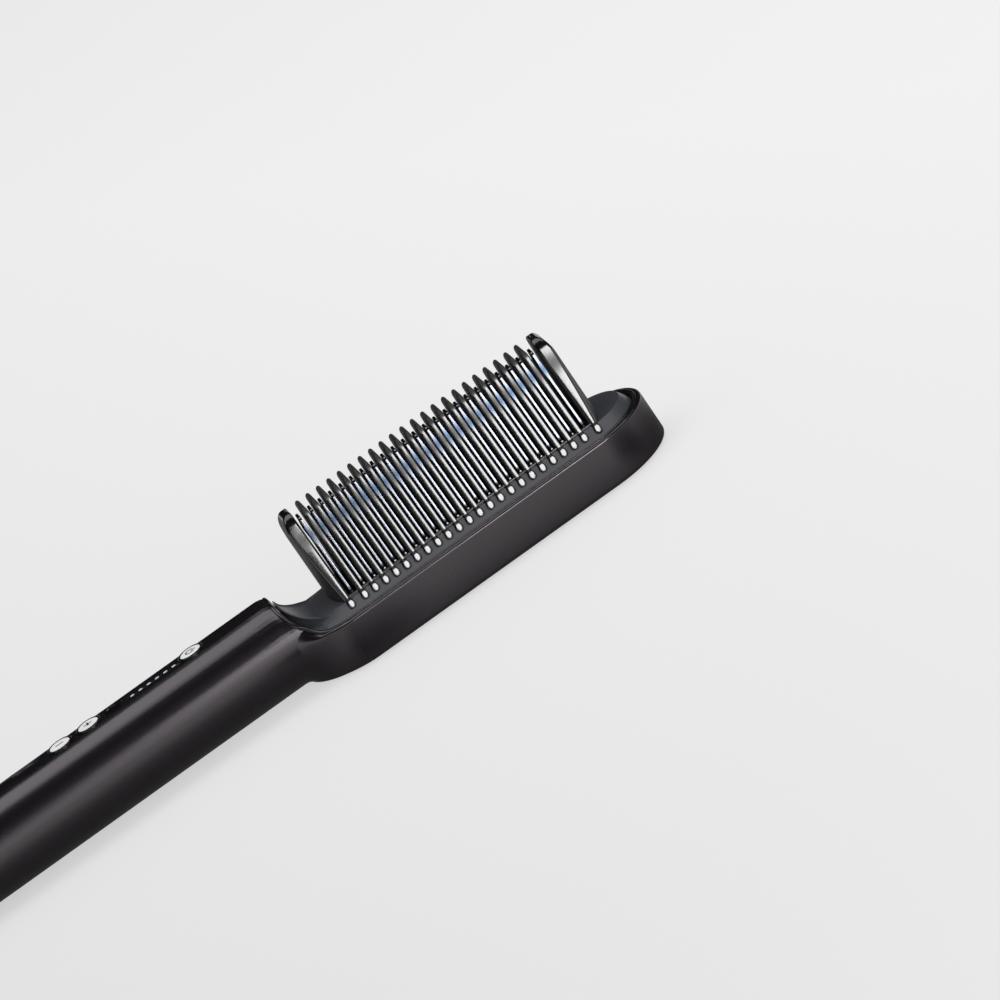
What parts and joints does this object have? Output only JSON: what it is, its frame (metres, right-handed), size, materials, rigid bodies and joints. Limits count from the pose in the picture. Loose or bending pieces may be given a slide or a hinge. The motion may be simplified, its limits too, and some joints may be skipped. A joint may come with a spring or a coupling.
{
  "type": "heated straightening comb brush",
  "caption": "Heated hair straightening comb brush: stadium-shaped head with comb teeth and heating blades between them, round handle with press buttons, swivelling cord inlet.",
  "frame": {"origin": "middle of the flat face of the back panel, on the surface that the brush lies on", "axes": "+X along the handle towards the tip of the head, +Y across the head, +Z out of the comb side"},
  "size_m": [0.2864, 0.046, 0.0491],
  "materials": {
    "shell_black": "satin",
    "tray_grey": "satin",
    "comb_black": "glossy",
    "heating_metal": "satin",
    "heater_ceramic": "matte",
    "electrode_metal": "bare sheet",
    "clamp_metal": "bare sheet",
    "insulation_film": "thin amber film",
    "screw_metal": "plated steel",
    "sensor_glass": "bead",
    "fuse_case": "can",
    "shield_sheet": "thin sheet",
    "rose_trim": "metallic rose plating",
    "panel_black": "gloss",
    "strip_black": "gloss",
    "button_white": "satin",
    "switch_black": "matte",
    "dome_metal": "sprung sheet",
    "light_clear": "clear",
    "lamp_white": "lamp",
    "lens_smoke": "smoked",
    "board_green": "coated board",
    "part_black": "moulded",
    "capacitor_case": "moulded case",
    "can_metal": "sleeved can",
    "fuse_glass": "tube",
    "chrome_trim": "bright plating",
    "tail_black": "satin",
    "brass_bare": "bare",
    "lead_red": "silicone",
    "lead_white": "silicone",
    "lead_blue": "silicone"
  },
  "bodies": {
    "handle": {"body_shell": "shell_black", "comb_tray": "tray_grey", "comb_frame": "comb_black", "heating_plate": "heating_metal", "ptc_chips": "heater_ceramic", "upper_electrode": "electrode_metal", "lower_electrode": "electrode_metal", "insulation_films": "insulation_film", "pressure_plate": "clamp_metal", "pressure_screws": "screw_metal", "comb_screws": "screw_metal", "tray_screws": "screw_metal", "thermistor": "sensor_glass", "thermal_fuse": "fuse_case", "heat_shield": "shield_sheet", "back_ring": "rose_trim", "back_panel": "panel_black", "control_strip": "strip_black", "tact_switches": "switch_black", "switch_domes": "dome_metal", "light_guide": "light_clear", "board_lights": "lamp_white", "status_lens": "lens_smoke", "status_light": "lamp_white", "control_board": "board_green", "microcontroller": "part_black", "triac": "part_black", "film_capacitor": "capacitor_case", "storage_capacitor": "can_metal", "board_fuse": "fuse_glass", "end_ring": "chrome_trim", "end_plug": "tail_black", "swivel_washer": "brass_bare", "contact_brushes": "brass_bare", "heater_lead_upper": "lead_red", "heater_lead_lower": "lead_red", "sensor_lead": "lead_white", "supply_lead_left": "lead_white", "supply_lead_right": "lead_blue"},
    "power_button": {"power_button": "button_white", "power_plunger": "switch_black"},
    "plus_button": {"plus_button": "button_white", "plus_plunger": "switch_black"},
    "minus_button": {"minus_button": "button_white", "minus_plunger": "switch_black"},
    "swivel": {"swivel_knuckle": "tail_black", "swivel_clip": "dome_metal", "slip_rings": "brass_bare"}
  },
  "joints": [
    {"name": "power_button_press", "type": "slide", "parent": "handle", "child": "power_button", "axis": [0, 0, -1], "range_m": [0, 0.0005], "stiffness_N_per_m": 800, "springref_m": -0.0004},
    {"name": "plus_button_press", "type": "slide", "parent": "handle", "child": "plus_button", "axis": [0, 0, -1], "range_m": [0, 0.0005], "stiffness_N_per_m": 800, "springref_m": -0.0004},
    {"name": "minus_button_press", "type": "slide", "parent": "handle", "child": "minus_button", "axis": [0, 0, -1], "range_m": [0, 0.0005], "stiffness_N_per_m": 800, "springref_m": -0.0004},
    {"name": "cord_swivel", "type": "hinge", "parent": "handle", "child": "swivel", "pos_m": [-0.209, 0, 0.0155], "axis": [1, 0, 0], "continuous": true}
  ]
}
